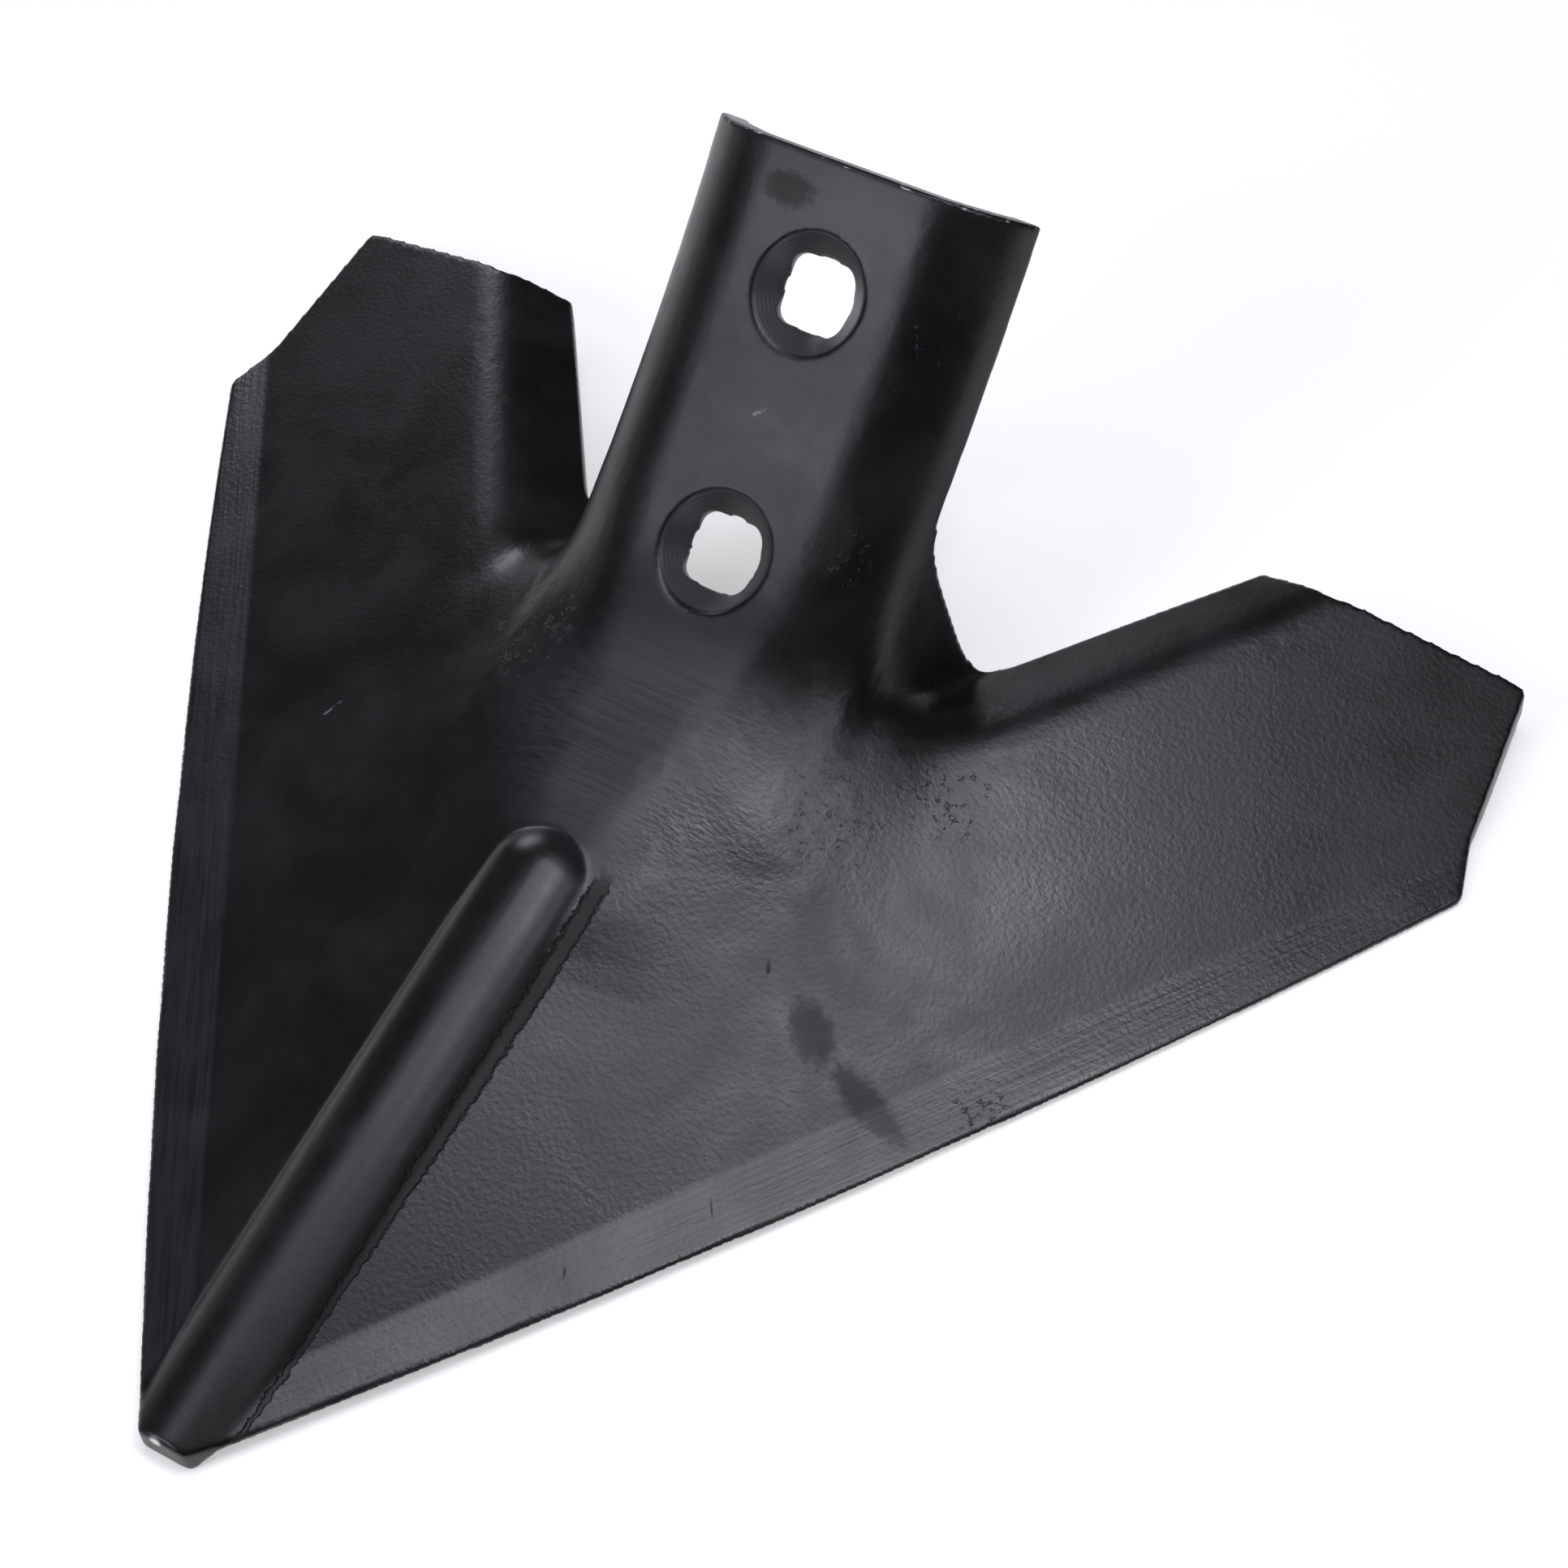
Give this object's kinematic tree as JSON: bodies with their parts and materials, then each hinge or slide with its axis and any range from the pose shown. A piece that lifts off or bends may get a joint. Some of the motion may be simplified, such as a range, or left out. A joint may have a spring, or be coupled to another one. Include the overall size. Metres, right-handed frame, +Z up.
{
  "type": "goosefoot cultivator share",
  "caption": "Winged V-shaped cultivator share with a nose rib, folded rear edges and a curved channel stem with countersunk square bolt holes.",
  "frame": {"origin": "middle of the footprint, on the surface that the share rests on", "axes": "+X across the wings to the share's left-hand side when seen from above with the nose forward, +Y from the nose back to the stem, +Z up"},
  "size_m": [0.2554, 0.228, 0.0894],
  "materials": {
    "black_paint": "worn semi-gloss black paint over forged steel"
  },
  "bodies": {
    "root": {"share_blade": "black_paint"}
  },
  "joints": []
}
